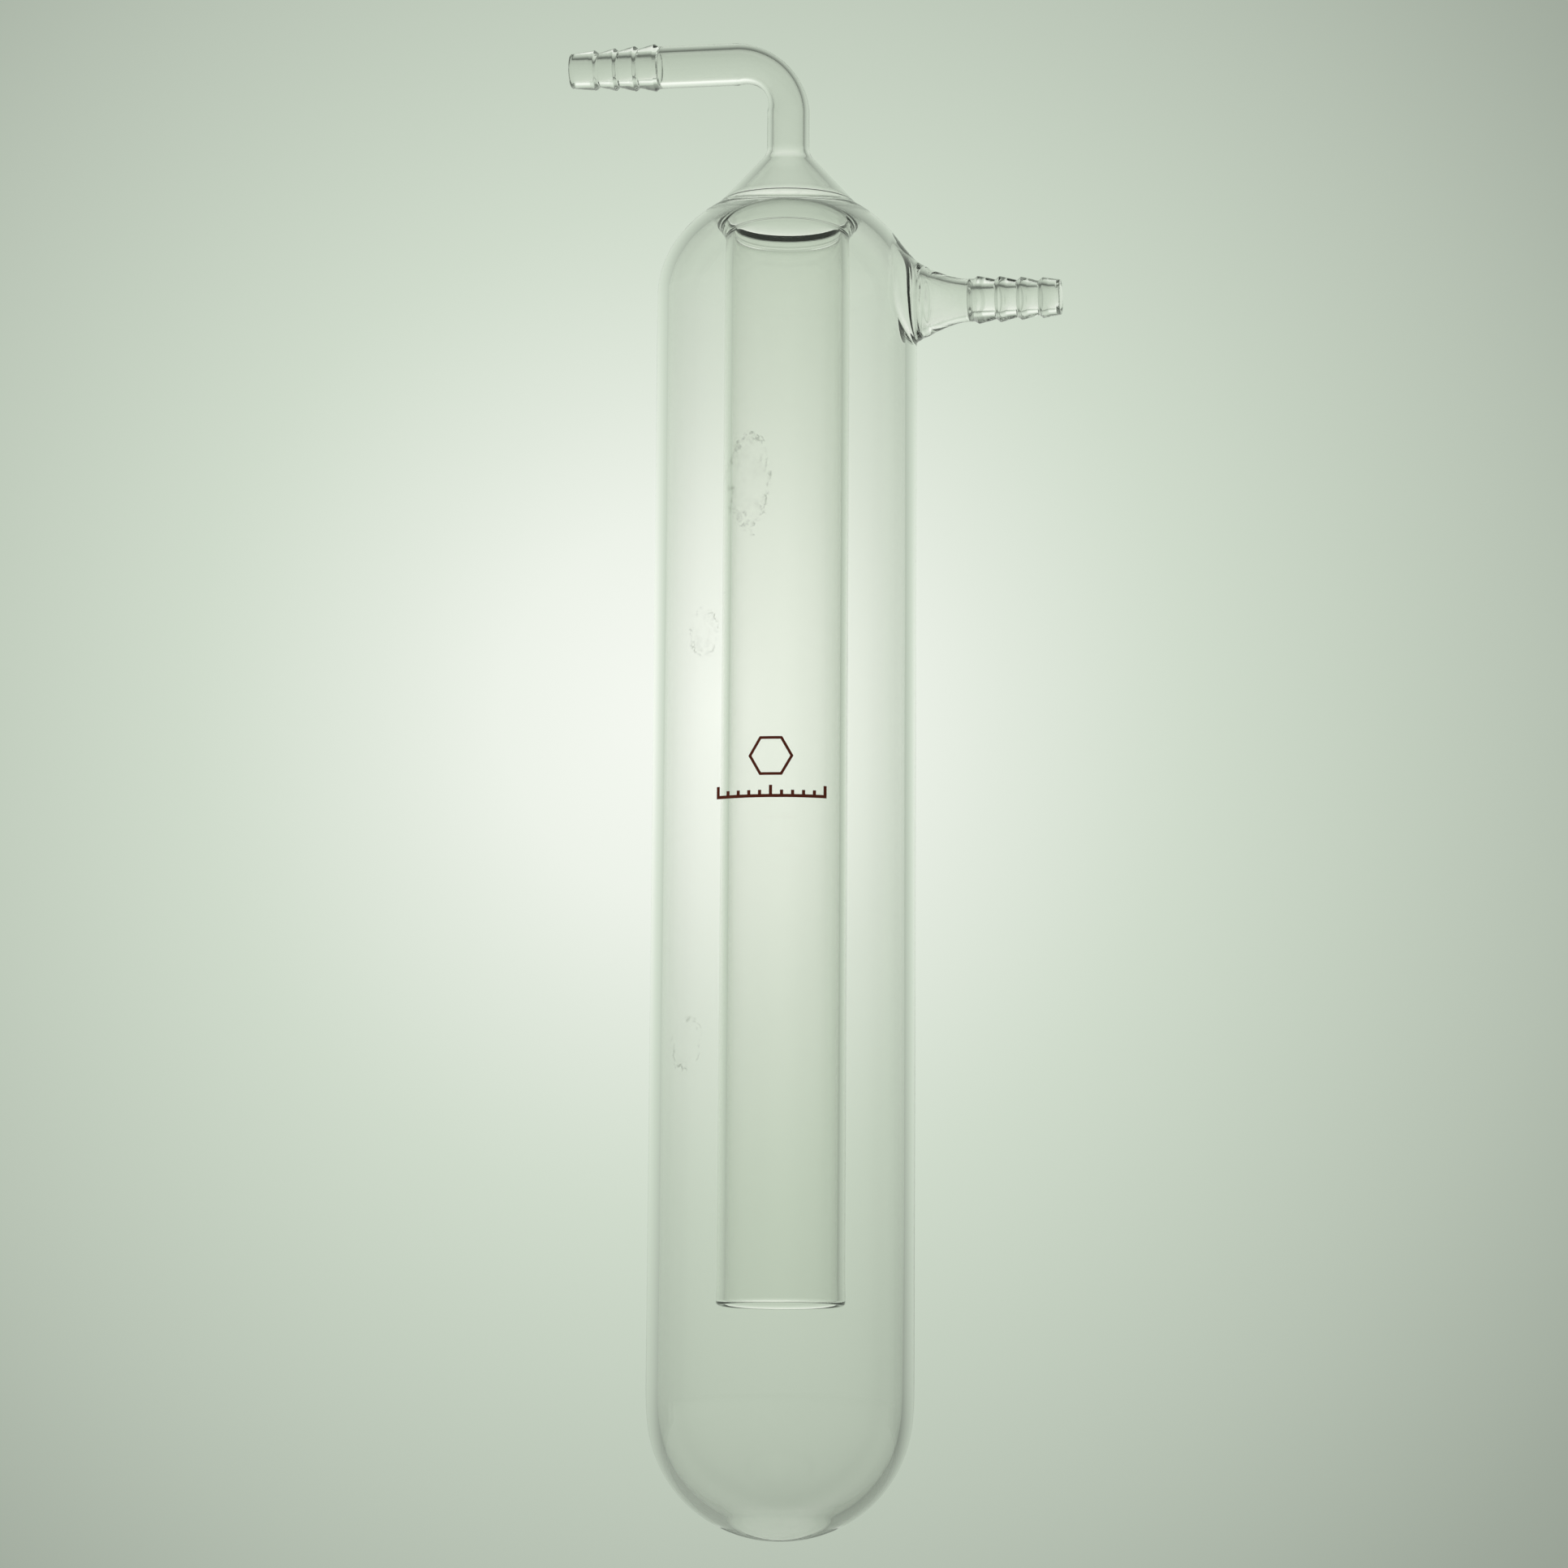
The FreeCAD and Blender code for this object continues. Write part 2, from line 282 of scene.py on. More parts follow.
# Stain from a mark's middle, at 0, to its rim, at 0.5, and just outside.
MARK_STAIN = ((0.05, grey(0.10)), (0.43, grey(0.16)), (0.50, grey(1.0)), (0.56, grey(0.0)))
MARK_WOBBLE = 0.56            # how far the rims stray from an oval
SPECKLE = (6.0, -2.7)         # gain and offset that turn a noise into specks
GAPS = (7.0, -2.95)           # and another into the gaps between them


def water_marks(nodes, links, place):
    """Strength of the dried rims of the water marks at a point."""
    apart = nodes.new("ShaderNodeSeparateXYZ")
    links.new(place, apart.inputs["Vector"])
    speckle = noise(nodes, links, place, scale=900.0, detail=4.0, roughness=0.7)
    bends = noise(nodes, links, place, scale=480.0, detail=4.0, roughness=0.6)
    gaps = noise(nodes, links, place, scale=190.0, detail=2.0, roughness=0.5)
    wobble = calc(nodes, links, "MULTIPLY_ADD", bends, MARK_WOBBLE, -MARK_WOBBLE / 2)
    total = 0.0
    for across, height, half_width, half_height in WATER_MARKS:
        flat = nodes.new("ShaderNodeCombineXYZ")
        for axis, centre, half in (("X", across, half_width), ("Z", height, half_height)):
            scaled = calc(nodes, links, "MULTIPLY_ADD", apart.outputs[axis], 1 / half, -centre / half)
            links.new(scaled, flat.inputs[axis])
        reach = length(nodes, links, flat.outputs["Vector"])
        wavy = calc(nodes, links, "MULTIPLY_ADD", reach, 0.5, wobble)
        total = calc(nodes, links, "ADD", ramp(nodes, links, wavy, MARK_STAIN), total)
    patchy = calc(nodes, links, "MULTIPLY_ADD", speckle, *SPECKLE, clamp=True)
    kept = calc(nodes, links, "MULTIPLY_ADD", gaps, *GAPS, clamp=True)
    broken = calc(nodes, links, "MULTIPLY", calc(nodes, links, "MULTIPLY", patchy, kept), total)
    front = calc(nodes, links, "LESS_THAN", apart.outputs["Y"], MARKS_FRONT)
    return calc(nodes, links, "MULTIPLY", front, broken)


CLEAR = (0.994, 1.0, 0.986, 1)          # faint green of borosilicate
STAINED = (0.40, 0.41, 0.38, 1)         # under a dried water mark
BOROSILICATE_IOR = 1.474
DRAW_LINES = (1.0, 1.0, 0.03)           # the drawn tube's lines are long and narrow
ENAMEL_DARK, ENAMEL_LIGHT = (0.14, 0.012, 0.002), (0.24, 0.028, 0.004)
ENAMEL_ROUGHNESS = 0.42


def clear_glass():
    """Clear borosilicate with faint lengthwise draw lines and a few dried water marks."""
    material, nodes, links, shader = new_material("clear_borosilicate")
    shader.inputs["Roughness"].default_value = 0.0
    shader.inputs["IOR"].default_value = BOROSILICATE_IOR
    shader.inputs["Transmission Weight"].default_value = 1.0
    place = nodes.new("ShaderNodeTexCoord").outputs["Object"]
    tint = nodes.new("ShaderNodeMix")
    tint.data_type = "RGBA"
    tint.inputs["A"].default_value = CLEAR
    tint.inputs["B"].default_value = STAINED
    links.new(water_marks(nodes, links, place), tint.inputs["Factor"])
    links.new(tint.outputs["Result"], shader.inputs["Base Color"])
    stretch = nodes.new("ShaderNodeMapping")
    stretch.inputs["Scale"].default_value = DRAW_LINES
    links.new(place, stretch.inputs["Vector"])
    lines = noise(nodes, links, stretch.outputs["Vector"], scale=260.0, detail=2.0, roughness=0.5)
    fine_bump(nodes, links, lines, shader, strength=0.04, depth=0.0002)
    return material


def seam_face():
    """Fused faces inside the glass can't be seen, so they let everything through."""
    material, nodes, links, surface = bare_material("fused_seam")
    links.new(nodes.new("ShaderNodeBsdfTransparent").outputs["BSDF"], surface)
    return material


def print_enamel():
    """Red-brown enamel, slightly mottled and rough from firing."""
    material, nodes, links, shader = new_material("fired_enamel")
    place = nodes.new("ShaderNodeTexCoord").outputs["Object"]
    grain = noise(nodes, links, place, scale=2600.0, detail=4.0, roughness=0.6)
    tone = ramp(nodes, links, grain, ((0, ENAMEL_DARK), (1, ENAMEL_LIGHT)))
    links.new(tone, shader.inputs["Base Color"])
    shader.inputs["Roughness"].default_value = ENAMEL_ROUGHNESS
    fine_bump(nodes, links, grain, shader, strength=0.25, depth=0.00003)
    return material


glass, seam, enamel = clear_glass(), seam_face(), print_enamel()


# --- mesh building --------------------------------------------------------------------------

def slope_between(points, number):
    """Direction of a line of points at one of them, to second order at the ends as well."""
    if len(points) == 2:
        return points[1] - points[0]
    middle = min(max(number, 1), len(points) - 2)
    before, here, after = points[middle - 1], points[middle], points[middle + 1]
    first, second = (here - before).length, (after - here).length
    into, out = (here - before) / first, (after - here) / second
    bend = (out - into) / (first + second)
    central = into + bend * first
    if number < middle:
        return central - bend * 2 * first
    if number > middle:
        return central + bend * 2 * second
    return central


def strip_normals(rings):
    """Normal at every point of a smooth strip of rings."""
    around = max(len(ring) for ring in rings)
    normals = []
    for n, ring in enumerate(rings):
        made = []
        for k in range(len(ring) if len(ring) > 1 else 0):
            first, last = max(0, n - 2), min(len(rings), n + 3)
            line = [rings[m][k % len(rings[m])] for m in range(first, last)]
            along = slope_between(line, n - first)
            across = ring[(k + 1) % around] - ring[k - 1]
            made.append(across.cross(along).normalized())
        normals.append(made)
    for n, ring in enumerate(rings):
        if len(ring) == 1:
            beside = normals[1] if n == 0 else normals[n - 1]
            normals[n] = [sum(beside, Vector()).normalized()]
    return normals


def glass_piece(name, strips, closed=True):
    """Mesh piece from smooth strips that meet at corners. A strip is (rings, material slot).

    A ring is a loop of points, or one point at a pole. closed joins the last strip to the first.
    """
    bm = bmesh.new()
    joints = []
    for rings, _ in strips:
        joints.append([bm.verts.new(p * MM) for p in rings[0]])
    joints.append(joints[0] if closed else [bm.verts.new(p * MM) for p in strips[-1][0][-1]])
    wanted = []
    for number, (rings, slot) in enumerate(strips):
        inner = [[bm.verts.new(p * MM) for p in ring] for ring in rings[1:-1]]
        loops = [joints[number]] + inner + [joints[number + 1]]
        normals = strip_normals(rings)
        for n in range(len(loops) - 1):
            pair = list(zip(loops[n:n + 2], normals[n:n + 2]))
            for k in range(max(len(loops[n]), len(loops[n + 1]))):
                corners = {}
                for (loop, ways), step in ((pair[0], 0), (pair[0], 1), (pair[1], 1), (pair[1], 0)):
                    at = (k + step) % len(loop)
                    corners[loop[at]] = ways[at]
                face = bm.faces.new(corners)
                face.material_index = slot
                face.smooth = True
                wanted.append(corners)
    bm.verts.index_update()
    wanted = [{vert.index: way for vert, way in corners.items()} for corners in wanted]
    bmesh.ops.recalc_face_normals(bm, faces=bm.faces)
    mesh = bpy.data.meshes.new(name)
    bm.to_mesh(mesh)
    bm.free()
    split = []
    for face, corners in zip(mesh.polygons, wanted):
        for loop in face.loop_indices:
            way = corners[mesh.loops[loop].vertex_index]
            if face.material_index == SEAM:
                split.append(face.normal)
            else:
                split.append(way if way.dot(face.normal) > 0 else -way)
    mesh.normals_split_custom_set(split)
    mesh.materials.append(glass)
    mesh.materials.append(seam)
    piece = bpy.data.objects.new(name, mesh)
    bpy.context.scene.collection.objects.link(piece)
    return piece


def turned(name, runs, around=AROUND, place=Matrix(), closed=True, wander=None):
    """Turns an outline about Z. runs is a list of (points, slot); two runs meet at a corner.

    place moves the points afterwards, and wander(radius, height, angle) adds to a radius.
    """
    strips = []
    for points, slot in runs:
        rings = []
        for r, z in points:
            angles = [2 * math.pi * k / around for k in range(around if r > POLE_R else 1)]
            reach = [r + (wander(r, z, a) if wander else 0.0) for a in angles]
            rings.append([place @ Vector((d * math.cos(a), d * math.sin(a), z))
                          for d, a in zip(reach, angles)])
        strips.append((rings, slot))
    return glass_piece(name, strips, closed)


WANDER = 0.012                # how far a drawn tube's bore strays from round
WANDER_FADE = 30              # length over which it dies out towards a seam
BORE_REACH = 0.3              # a point this close to a bore's radius lies on it


def wall_wander(r, z, angle):
    """Drawn tube is never quite even: its bore wanders by a hundredth or two along and round it."""
    if abs(r - BODY_BORE) > BORE_REACH and abs(r - DIP_BORE) > BORE_REACH:
        return 0.0
    along = 0.5 + 0.5 * math.sin(z * 0.021 + 0.7)
    streaks = math.sin(5 * angle + 0.6) + 0.6 * math.sin(11 * angle + 2.1 + z * 0.004)
    if r > DIP_R + 1:
        fade = min(1.0, z / WANDER_FADE, (BODY_SEAM - z) / WANDER_FADE)
    else:
        fade = min(1.0, (DIP_SEAM - z) / WANDER_FADE)
    return WANDER * streaks * (0.6 + 0.4 * along) * max(0.0, fade)


# --- body -----------------------------------------------------------------------------------

def pipe_piece(name, outer, inner):
    """Open length of pipe from the rings of its outside and, running back, of its bore."""
    far_end, near_end = [outer[-1], inner[0]], [inner[-1], outer[0]]
    return glass_piece(name, [(outer, GLASS), (far_end, SEAM), (inner, GLASS), (near_end, SEAM)])


def eased(points, radius, depth):
    """Draws the wall in a little round the start of the bottom, so that it bends in gradually."""
    bend = depth**2 / radius
    out = []
    for r, z in points:
        if z < -EASE:
            share = 1 - ((z + EASE) / (depth - EASE))**2
            off = EASE**2 / (6 * bend) * share
        else:
            off = max(0.0, EASE - z)**3 / (12 * EASE * bend) - min(z, 0)**2 / (2 * bend)
        out.append((max(0.0, r - off), z))
    return out


def body_tube():
    bore_depth = BOTTOM_DEPTH - BOTTOM_WALL
    foot = straight((BODY_R, 0), (BODY_R, EASE), step=0.5)
    bore_foot = straight((BODY_BORE, EASE), (BODY_BORE, 0), step=0.5)
    outer = join(eased(foot, BODY_R, BOTTOM_DEPTH), straight((BODY_R, EASE), (BODY_R, BODY_SEAM), LONG_STEP))
    inner = join(straight((BODY_BORE, BODY_SEAM), (BODY_BORE, EASE), LONG_STEP),
                 eased(bore_foot, BODY_BORE, bore_depth))
    outline = [
        (outer, GLASS),
        (straight((BODY_R, BODY_SEAM), (BODY_BORE, BODY_SEAM)), SEAM),
        (inner, GLASS),
        (straight(inner[-1], outer[0]), SEAM),
    ]
    return turned("body_tube_glass", outline, wander=wall_wander)


def round_bottom():
    depth = BOTTOM_DEPTH - BOTTOM_WALL
    landing = math.acos(THIN_SPOT_R / BODY_BORE)
    pole = (0, THIN_SPOT_WALL - BOTTOM_DEPTH)
    inner = arc((0, 0), (BODY_BORE, depth), 0, -landing)
    way_in = (-BODY_BORE * math.sin(landing), -depth * math.cos(landing))
    thin_spot = spline([inner[-1], pole], way_in, (-1, 0))
    outer = eased(arc((0, 0), (BODY_R, BOTTOM_DEPTH), -math.pi / 2, 0), BODY_R, BOTTOM_DEPTH)
    inner = eased(join(inner, thin_spot), BODY_BORE, depth)
    outer[0], inner[-1] = (0, -BOTTOM_DEPTH), pole
    outline = [(outer, GLASS), (straight(outer[-1], inner[0]), SEAM), (inner, GLASS)]
    return turned("round_bottom_glass", outline, closed=False)


def dome_rise(radius):
    return DOME_RISE - (BODY_R - radius)


def on_dome(radius, angle):
    return (radius * math.cos(angle), DOME_Z + dome_rise(radius) * math.sin(angle))


DOME_SEAM_ANGLE = math.asin((DOME_SEAM_Z - DOME_Z) / DOME_RISE)
SADDLE_Z, SADDLE_R = 213.6, 12.9     # circle where the side arm's saddle is set into the shoulder
PLUG_NEAR, PLUG_FAR = 0.4, 1.4       # ends of the plug that cuts it, as shares of the body's radius


def dome_arc(radius, start_angle, end_angle, step=0.5):
    count = math.ceil(abs(end_angle - start_angle) * radius / step)
    return [on_dome(radius, start_angle + (end_angle - start_angle) * k / count) for k in range(count + 1)]


def body_normal(point):
    """Outward direction of whichever of the body's round surfaces the point lies on."""
    rise = max(0.0, point.z - DOME_Z)
    across = math.hypot(point.x, point.y)
    off = {r: abs(math.hypot(across / r, rise / dome_rise(r)) - 1) for r in (BODY_R, BODY_BORE)}
    shell = min(off, key=off.get)
    return Vector((point.x / shell**2, point.y / shell**2, rise / dome_rise(shell)**2)).normalized()


def shoulder():
    """Dome and collar, with a round hole cut for the side arm's saddle."""
    outer = join(straight((BODY_R, BODY_SEAM), (BODY_R, DOME_Z)), dome_arc(BODY_R, 0, DOME_SEAM_ANGLE))
    inner = join(dome_arc(BODY_BORE, DOME_SEAM_ANGLE, 0),
                 straight((BODY_BORE, DOME_Z), (BODY_BORE, BODY_SEAM)))
    outline = [
        (outer, GLASS),
        (straight(on_dome(BODY_R, DOME_SEAM_ANGLE), on_dome(BODY_BORE, DOME_SEAM_ANGLE)), SEAM),
        (inner, GLASS),
        (straight((BODY_BORE, BODY_SEAM), (BODY_R, BODY_SEAM)), SEAM),
    ]
    piece = turned("shoulder_glass", outline)
    rim = [Vector((0, SADDLE_R * math.cos(a), SADDLE_Z + SADDLE_R * math.sin(a)))
           for a in (2 * math.pi * k / AROUND for k in range(AROUND))]
    near, far = BODY_R * PLUG_NEAR, BODY_R * PLUG_FAR
    near_rim, far_rim = ([p + Vector((x, 0, 0)) for p in rim] for x in (near, far))
    strips = [([[Vector((near, 0, SADDLE_Z))], near_rim], SEAM), ([near_rim, far_rim], SEAM),
              ([far_rim, [Vector((far, 0, SADDLE_Z))]], SEAM)]
    plug = glass_piece("saddle_plug", strips, False)
    cut = piece.modifiers.new("saddle", "BOOLEAN")
    cut.operation, cut.solver, cut.object = "DIFFERENCE", "EXACT", plug
    bpy.context.view_layer.update()
    mesh = bpy.data.meshes.new_from_object(piece.evaluated_get(bpy.context.evaluated_depsgraph_get()))
    piece.modifiers.clear()
    piece.data = mesh
    mesh.name = "shoulder_glass"
    bpy.data.objects.remove(plug)
    normals = []
    for face in mesh.polygons:
        for loop in face.loop_indices:
            point = mesh.vertices[mesh.loops[loop].vertex_index].co / MM
            if face.material_index == SEAM:
                normals.append(face.normal)
            else:
                way = body_normal(point)
                normals.append(way if face.normal.dot(way) > 0 else -way)
    mesh.normals_split_custom_set(normals)
    return piece


# --- side arm -------------------------------------------------------------------------------

# Distance from the arm's axis where the flare meets the body, at its top, sides and foot.
LANDINGS = {BODY_R: (13.5, 10.6, 7.8), BODY_BORE: (12.2, 9.2, 8.2)}
LANDING_BLEND = 1.5
NUDGE = 0.05                  # to either side of the landing, to find the wall's direction there
# The flare's knots, as (distance back from the arm's root, radius), and the direction at each.
FLARE_KNOTS = {BODY_R: ((0, STEM_R), (3.9, 5.05), (7.2, 6.7), (8.9, 7.75)),
               BODY_BORE: ((0, STEM_BORE), (4.2, 3.8), (7.6, 4.75), (8.7, 5.2), (9.5, 6.05))}
FLARE_WAYS = {BODY_R: ((-1, 0.08), (-0.95, 0.36), (-0.86, 0.5), (-0.74, 0.64)),
              BODY_BORE: ((-1, 0.12), (-0.96, 0.27), (-0.97, 0.24), (-0.97, 0.24), (-0.6, 0.8))}
FLARE_POINTS = {BODY_R: 90, BODY_BORE: 120}
WAIST_PINCH = 0.2             # the outside's third knot is drawn in above and below
CROWN_BACK, HEEL_PINCH = 0.4, 0.55   # its fourth goes further back above and is drawn in below
TAIL_STEPS = 12               # rings on the saddle's rim


def surface_x(shell_radius, y, z):
    """Distance of the body's round surface from its axis plane, towards the side arm."""
    level = max(0.0, z - DOME_Z) / dome_rise(shell_radius)
    return math.sqrt(shell_radius**2 * (1 - level**2) - y**2)


def fixed_count(points, count):
    """The same polyline with evenly spaced points, so that every ray has as many."""
    lengths = [0.0]
    for a, b in zip(points, points[1:]):
        lengths.append(lengths[-1] + math.dist(a, b))
    out, k = [], 0
    for n in range(count):
        want = lengths[-1] * n / (count - 1)
        while k < len(lengths) - 2 and lengths[k + 1] < want:
            k += 1
        span = lengths[k + 1] - lengths[k]
        t = (want - lengths[k]) / span if span else 0.0
        out.append(tuple(a + (b - a) * t for a, b in zip(points[k], points[k + 1])))
    return out


def neck_ray(shell_radius, angle):
    """Profile of the neck's outside or bore at an angle round the arm, as (x, distance from its axis)."""
    cy, cz = math.cos(angle), math.sin(angle)
    lift, sink = max(0.0, cz), max(0.0, -cz)

    def on_body(reach):
        return (surface_x(shell_radius, reach * cy, OUTLET_Z + reach * cz), reach)

    top, side, foot = LANDINGS[shell_radius]
    landing = side + ((top if cz > 0 else foot) - side) * abs(cz)**LANDING_BLEND
    knots = [(OUTLET_ROOT - back, radius) for back, radius in FLARE_KNOTS[shell_radius]]
    if shell_radius == BODY_R:
        knots[2] = (knots[2][0], knots[2][1] - WAIST_PINCH * (lift + sink))
        knots[3] = (knots[3][0] - CROWN_BACK * lift, knots[3][1] - HEEL_PINCH * sink)
    near, far = on_body(landing - NUDGE), on_body(landing + NUDGE)
    arrival = (Vector(far) - Vector(near)).normalized()
    flare = steered([*knots, on_body(landing)], [*FLARE_WAYS[shell_radius], arrival])
    offset = SADDLE_Z - OUTLET_Z
    edge = offset * cz + math.sqrt(SADDLE_R**2 - (offset * cy)**2)
    tail = [on_body(landing + (edge - landing) * n / TAIL_STEPS) for n in range(1, TAIL_STEPS + 1)]
    return fixed_count(flare, FLARE_POINTS[shell_radius]) + tail


def neck_rings(shell_radius):
    """Rings of the neck's outside or bore, from the arm's root to the saddle's rim."""
    angles = [2 * math.pi * k / AROUND for k in range(AROUND)]
    rays = [neck_ray(shell_radius, angle) for angle in angles]
    return [[Vector((x, reach * math.cos(angle), OUTLET_Z + reach * math.sin(angle)))
             for (x, reach), angle in zip(ring, angles)] for ring in zip(*rays)]


def side_arm_neck():
    """Flared neck whose outside and bore both sweep on to the body's wall, set in as a round saddle."""
    return pipe_piece("side_arm_neck_glass", neck_rings(BODY_R), neck_rings(BODY_BORE)[::-1])


# --- ring seal, cone, dip tube and stem -----------------------------------------------------

CREASE_ANGLE = math.acos(CREASE_R / BODY_R)
CREASE_Z = on_dome(BODY_R, CREASE_ANGLE)[1]
CONE_SLOPE = math.atan2(CONE_TIP_Z - CREASE_Z, CREASE_R - STEM_R)
CONE_UP = (-math.cos(CONE_SLOPE), math.sin(CONE_SLOPE))


def cone_seam():
    outer = (CONE_SEAM_R, CREASE_Z + (CREASE_R - CONE_SEAM_R) * math.tan(CONE_SLOPE))
    inner = (outer[0] - CONE_WALL * math.sin(CONE_SLOPE), outer[1] - CONE_WALL * math.cos(CONE_SLOPE))
    return inner, outer


CREASE_BELOW, CREASE_ABOVE = 0.035, 0.9      # crease's rounding, as an angle down and a length up
MOUTH_OUT, MOUTH_UP = 0.4, 0.5               # knot beside the edge of the dip tube's bore
BEAD_OUT, BEAD_UP = 0.22, 0.9                # and beside the bead's foot


def ring_seal():
    """Bead where dome, cone and dip tube run together."""
    cone_inner, cone_outer = cone_seam()
    dome_outer, dome_inner = on_dome(BODY_R, DOME_SEAM_ANGLE), on_dome(BODY_BORE, DOME_SEAM_ANGLE)
    along_dome = Vector((-BODY_R * math.sin(DOME_SEAM_ANGLE), DOME_RISE * math.cos(DOME_SEAM_ANGLE)))
    below_crease = on_dome(BODY_R, CREASE_ANGLE - CREASE_BELOW)
    above_crease = (CREASE_R + CONE_UP[0] * CREASE_ABOVE, CREASE_Z + CONE_UP[1] * CREASE_ABOVE)
    outside = spline([dome_outer, below_crease, above_crease, cone_outer], along_dome, CONE_UP, step=0.1)
    bore_edge, mouth = (DIP_BORE, BORE_EDGE_Z), (DIP_BORE + MOUTH_OUT, BORE_EDGE_Z + MOUTH_UP)
    cone_down = (-CONE_UP[0], -CONE_UP[1])
    bulge = spline([cone_inner, (BULGE_R, BULGE_Z), mouth, bore_edge], cone_down, (0, -1), step=0.08)
    bead_foot, above_foot = (DIP_R, BEAD_FOOT_Z), (DIP_R + BEAD_OUT, BEAD_FOOT_Z + BEAD_UP)
    bead = spline([bead_foot, above_foot, (BEAD_R, BEAD_Z), dome_inner], (0, 1), -along_dome, step=0.08)
    outline = [
        (outside, GLASS),
        (straight(cone_outer, cone_inner), SEAM),
        (join(bulge, straight(bore_edge, (DIP_BORE, DIP_SEAM), step=0.4)), GLASS),
        (straight((DIP_BORE, DIP_SEAM), (DIP_R, DIP_SEAM)), SEAM),
        (join(straight((DIP_R, DIP_SEAM), bead_foot, step=0.4), bead), GLASS),
        (straight(dome_inner, dome_outer), SEAM),
    ]
    return turned("ring_seal_glass", outline)


def dip_tube():
    """Long tube with a fire-polished rim that opens out a little."""
    soft = DIP_WALL / 2
    flare_start, flare_end = DIP_RIM + RIM_LENGTH, DIP_RIM + soft
    rim = join(
        straight((DIP_R, DIP_SEAM), (DIP_R, flare_start), LONG_STEP),
        spline([(DIP_R, flare_start), (DIP_R + RIM_FLARE, flare_end)], (0, -1), (0, -1)),
        arc((DIP_R + RIM_FLARE - soft, flare_end), soft, 0, -math.pi, step=0.08),
        spline([(DIP_BORE + RIM_FLARE, flare_end), (DIP_BORE, flare_start)], (0, 1), (0, 1)),
        straight((DIP_BORE, flare_start), (DIP_BORE, DIP_SEAM), LONG_STEP),
    )
    outline = [(rim, GLASS), (straight((DIP_BORE, DIP_SEAM), (DIP_R, DIP_SEAM)), SEAM)]
    return turned("dip_tube_glass", outline, wander=wall_wander)


def swept_side(foot, radius, fillet):
    """The cone's slope from its foot, swept into the stem's straight side."""
    corner = (radius, foot[1] + (foot[0] - radius) * math.tan(CONE_SLOPE))
    turn = math.pi / 2 - CONE_SLOPE
    reach = fillet * math.tan(turn / 2)
    start = (corner[0] - CONE_UP[0] * reach, corner[1] - CONE_UP[1] * reach)
    centre = (radius + fillet, corner[1] + reach)
    bend = arc(centre, fillet, math.pi + turn, math.pi, step=0.15)
    return join(straight(foot, start, step=0.5), bend, straight(bend[-1], (radius, STEM_SEAM), step=0.5))


def inlet_cone():
    inner_foot, outer_foot = cone_seam()
    outer = swept_side(outer_foot, STEM_R, CONE_FILLET)
    inner = swept_side(inner_foot, STEM_BORE, CONE_FILLET + STEM_WALL)
    outline = [
        (outer, GLASS),
        (straight(outer[-1], inner[-1]), SEAM),
        (inner[::-1], GLASS),
        (straight(inner_foot, outer_foot), SEAM),
    ]
    return turned("inlet_cone_glass", outline)


def stem_path():
    """Stations along the stem's centre line: (place, direction)."""
    bend_z = INLET_Z - BEND_R
    rise = straight((0, STEM_SEAM), (0, bend_z), step=1.0)
    stations = [(Vector((0, 0, z)), Vector((0, 0, 1))) for _, z in rise[:-1]]
    for a in (math.pi / 2 * n / BEND_STEPS for n in range(BEND_STEPS + 1)):
        place = Vector((-BEND_R + BEND_R * math.cos(a), 0, bend_z + BEND_R * math.sin(a)))
        stations.append((place, Vector((-math.sin(a), 0, math.cos(a)))))
    for x, _ in straight((-BEND_R, 0), (-INLET_ROOT, 0), step=1.0)[1:]:
        stations.append((Vector((x, 0, INLET_Z)), Vector((-1, 0, 0))))
    return stations


def inlet_stem():
    """Bent tube, flattened in its bend as hand-bent tube is."""
    rings = {STEM_R: [], STEM_BORE: []}
    for place, way in stem_path():
        side = Vector((0, 1, 0))
        out = side.cross(way)
        bent = 2 * abs(way.x) * abs(way.z)
        centre = place + out * BEND_SHIFT * bent
        for radius, made in rings.items():
            ring = []
            for k in range(AROUND_SMALL):
                a = 2 * math.pi * k / AROUND_SMALL
                across, outward = radius * (1 + BEND_WIDER * bent), radius * (1 - BEND_FLATTER * bent)
                ring.append(centre + side * across * math.cos(a) + out * outward * math.sin(a))
            made.append(ring)
    return pipe_piece("inlet_stem_glass", rings[STEM_R], rings[STEM_BORE][::-1])


# --- hose barbs -----------------------------------------------------------------------------

BARB_CRESTS = (3.9, 4.15, 4.4, BARB_CREST)
BARB_TIP_R = 3.35
BARB_TIP_BORE = 2.5
BARB_CHAMFER = 0.25           # on the tip's inner edge
BARB_STEP = 0.6
BARB_STEP_LENGTH = 0.5
CREST_LEAD = 0.25             # a crest stands this far before the end of its land
BARB_SOCKET, BARB_FUNNEL = 0.5, 0.8
BARB_SWELL = 0.3              # the bore swells under each crest
SWELL_BEFORE, SWELL_AFTER = 1.2, 0.7
TIP_NARROWING = 1.0           # length over which the bore narrows to the tip
# Roundings of the corners, in the order in which the outline comes to them.
TIP_ROUND, CREST_ROUNDS = 0.45, [0.28, 0.3]
SOCKET_ROUNDS, SWELL_ROUNDS, TIP_BORE_ROUNDS = [0.35, 0.2], [0.5, 0.4, 0.6], [1.2, 0.3]


def finer(points, step=0.4):
    """The polyline with its long sides divided."""
    out = [points[0]]
    for a, b in zip(points, points[1:]):
        out += straight(a, b, step)[1:]
    return out


